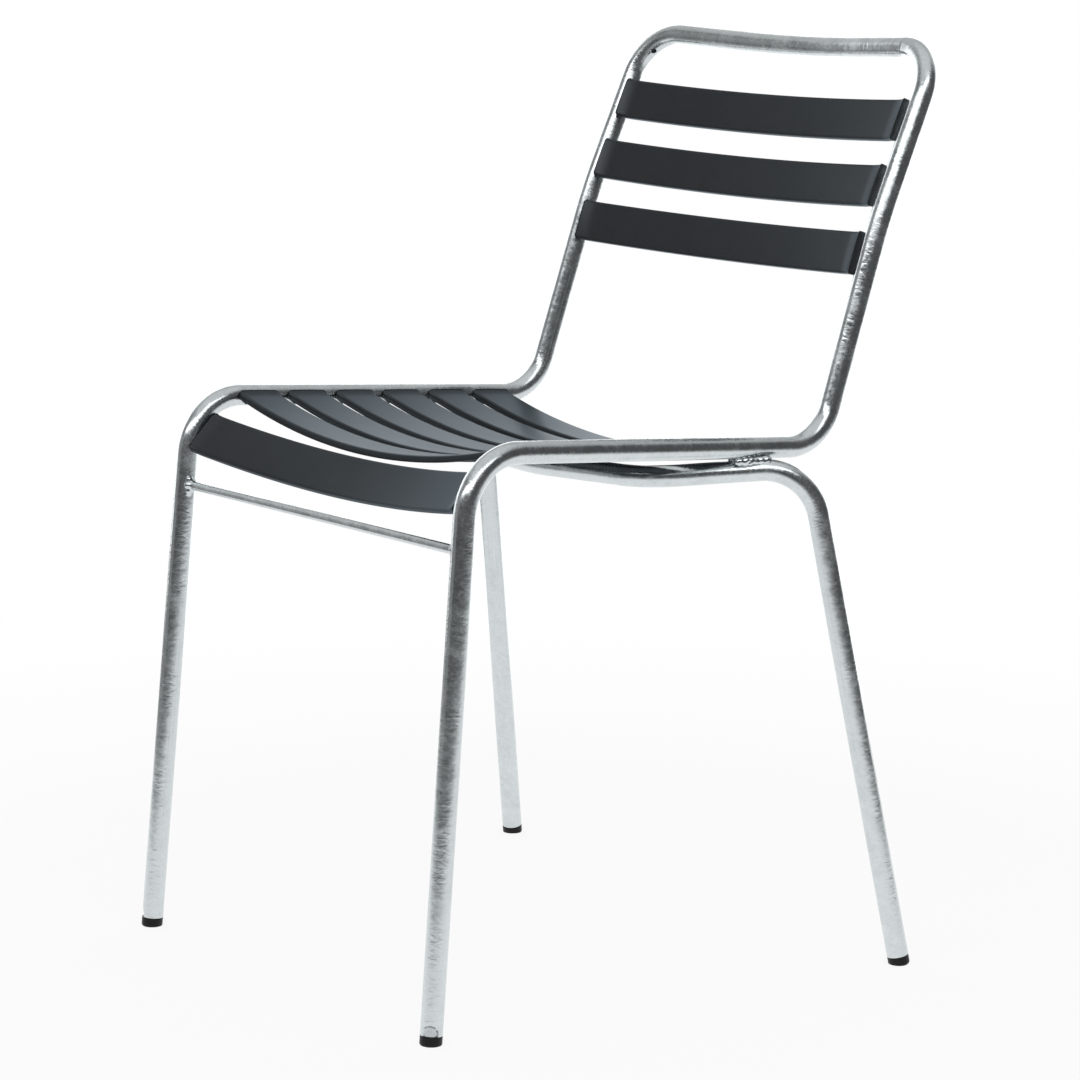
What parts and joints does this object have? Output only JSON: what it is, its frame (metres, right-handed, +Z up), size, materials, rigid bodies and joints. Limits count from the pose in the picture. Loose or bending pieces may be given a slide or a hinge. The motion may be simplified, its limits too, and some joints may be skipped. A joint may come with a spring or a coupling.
{
  "type": "stacking bistro chair",
  "caption": "Stacking outdoor chair: bent galvanised steel tube frame with curved dark plastic slats across the seat and the back, and black foot plugs.",
  "frame": {"origin": "floor level, below the centre of the chair's bounding box", "axes": "+Z up, the chair faces -Y, +X is the sitter's left"},
  "size_m": [0.5726, 0.5905, 0.7988],
  "materials": {
    "galvanised_tube": "hot-dip galvanised, semi-gloss with mottled grain",
    "weld_metal": "zinc over weld bead, bright and lumpy",
    "slat_pin_steel": "plain zinc",
    "slat_plastic": "anthracite, satin gloss, very fine orange peel",
    "foot_plastic": "black moulded plastic"
  },
  "bodies": {
    "root": {"main_frame_tube": "galvanised_tube", "rear_leg_tube": "galvanised_tube", "front_cross_rod": "galvanised_tube", "front_rod_welds": "weld_metal", "rear_frame_welds": "weld_metal", "seat_slat_pins": "slat_pin_steel", "back_slat_pins": "slat_pin_steel", "seat_slat_front": "slat_plastic", "seat_slat_1": "slat_plastic", "seat_slat_2": "slat_plastic", "seat_slat_3": "slat_plastic", "seat_slat_4": "slat_plastic", "seat_slat_5": "slat_plastic", "seat_slat_6": "slat_plastic", "back_slat_top": "slat_plastic", "back_slat_middle": "slat_plastic", "back_slat_bottom": "slat_plastic", "foot_plug_front_left": "foot_plastic", "foot_plug_front_right": "foot_plastic", "foot_plug_rear_left": "foot_plastic", "foot_plug_rear_right": "foot_plastic"}
  },
  "joints": []
}
